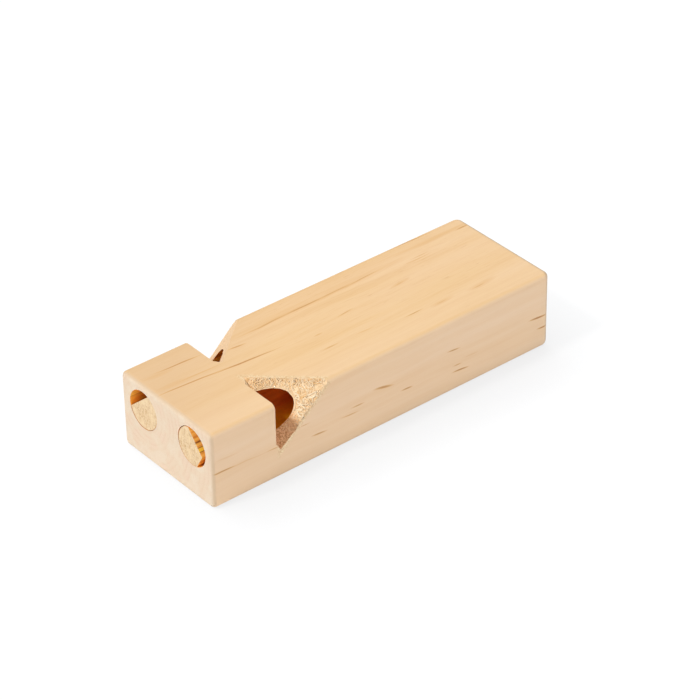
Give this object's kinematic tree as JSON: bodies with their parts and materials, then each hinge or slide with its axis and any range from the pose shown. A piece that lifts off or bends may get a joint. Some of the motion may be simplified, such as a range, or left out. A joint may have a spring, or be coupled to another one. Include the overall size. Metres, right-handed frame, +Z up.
{
  "type": "wooden whistle",
  "caption": "Rounded pine block whistle with side-by-side blind bores, a flat-sided fipple plug glued in each, and a V notch across each long top edge that opens a voicing window into its bore.",
  "frame": {"origin": "middle of the underside", "axes": "X across the block through both bores, Y along the block from the mouth end (-Y) to the closed far end (+Y), Z up from the underside to the top face that both notches cut into"},
  "size_m": [0.0338, 0.1, 0.0202],
  "materials": {
    "pine": "bare sanded",
    "dowel": "bare sawn end grain"
  },
  "bodies": {
    "root": {"body": "pine", "left_plug": "dowel", "right_plug": "dowel"}
  },
  "joints": []
}
